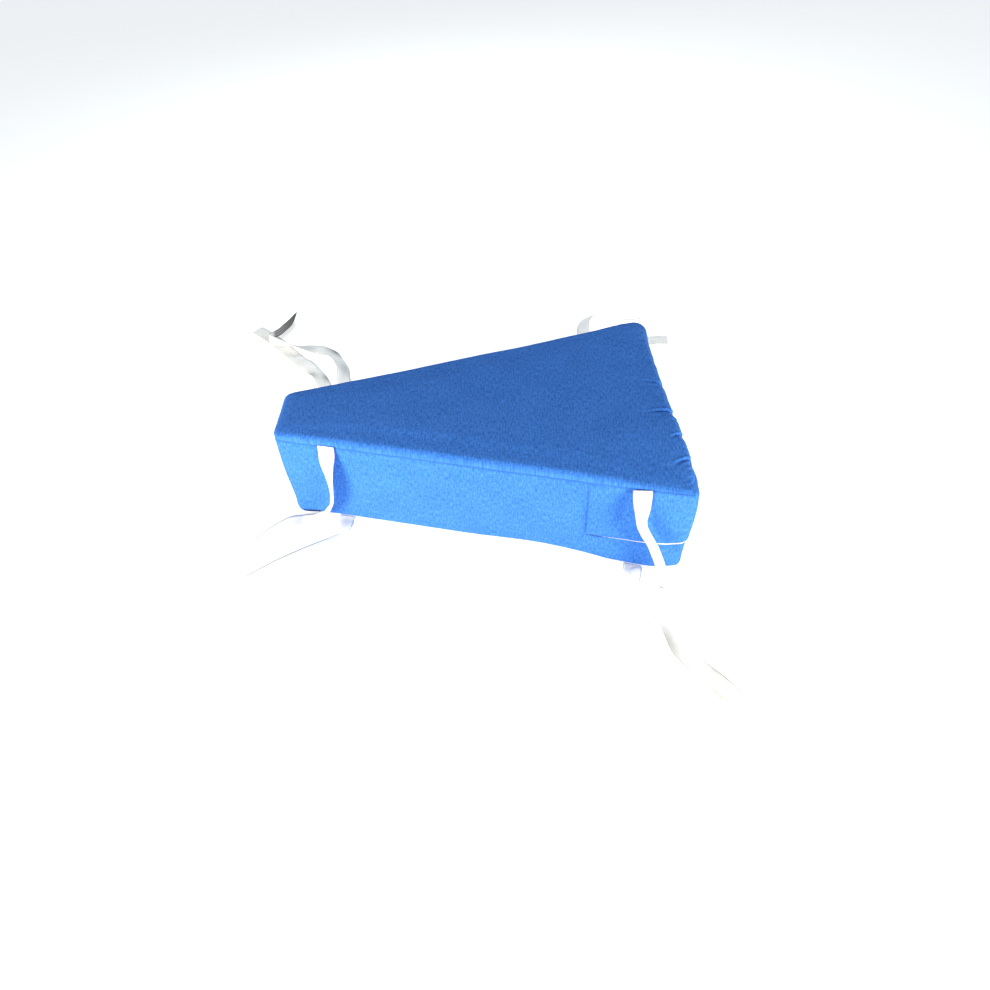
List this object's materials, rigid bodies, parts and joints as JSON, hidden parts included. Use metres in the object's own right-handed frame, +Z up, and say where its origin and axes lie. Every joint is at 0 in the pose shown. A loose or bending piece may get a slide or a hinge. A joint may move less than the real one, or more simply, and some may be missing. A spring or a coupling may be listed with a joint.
{
  "type": "hip abduction pillow",
  "caption": "Wedge-shaped foam pillow in a sewn cotton cover, with a closure flap round its wide end and white tape ties along both long sides.",
  "frame": {"origin": "middle of the wedge's flat underside, halfway along its length and on its centre line", "axes": "+Z up out of the underside, +X along the centre line to the wide end, -Y to the long side that carries the start of the closure flap"},
  "size_m": [0.6871, 0.7301, 0.134],
  "materials": {
    "cover_cloth": "matte woven cotton",
    "closure_tape": "matte woven tape",
    "tie_tape": "matte cotton tape"
  },
  "bodies": {
    "root": {"pillow": "cover_cloth", "closure_flap": "cover_cloth", "closure_tape": "closure_tape", "tie_near_wide_upper": "tie_tape", "tie_near_wide_lower": "tie_tape", "tie_near_narrow_upper": "tie_tape", "tie_near_narrow_lower": "tie_tape", "tie_far_narrow_upper": "tie_tape", "tie_far_narrow_lower": "tie_tape", "tie_far_wide_upper": "tie_tape", "tie_far_wide_lower": "tie_tape"}
  },
  "joints": []
}
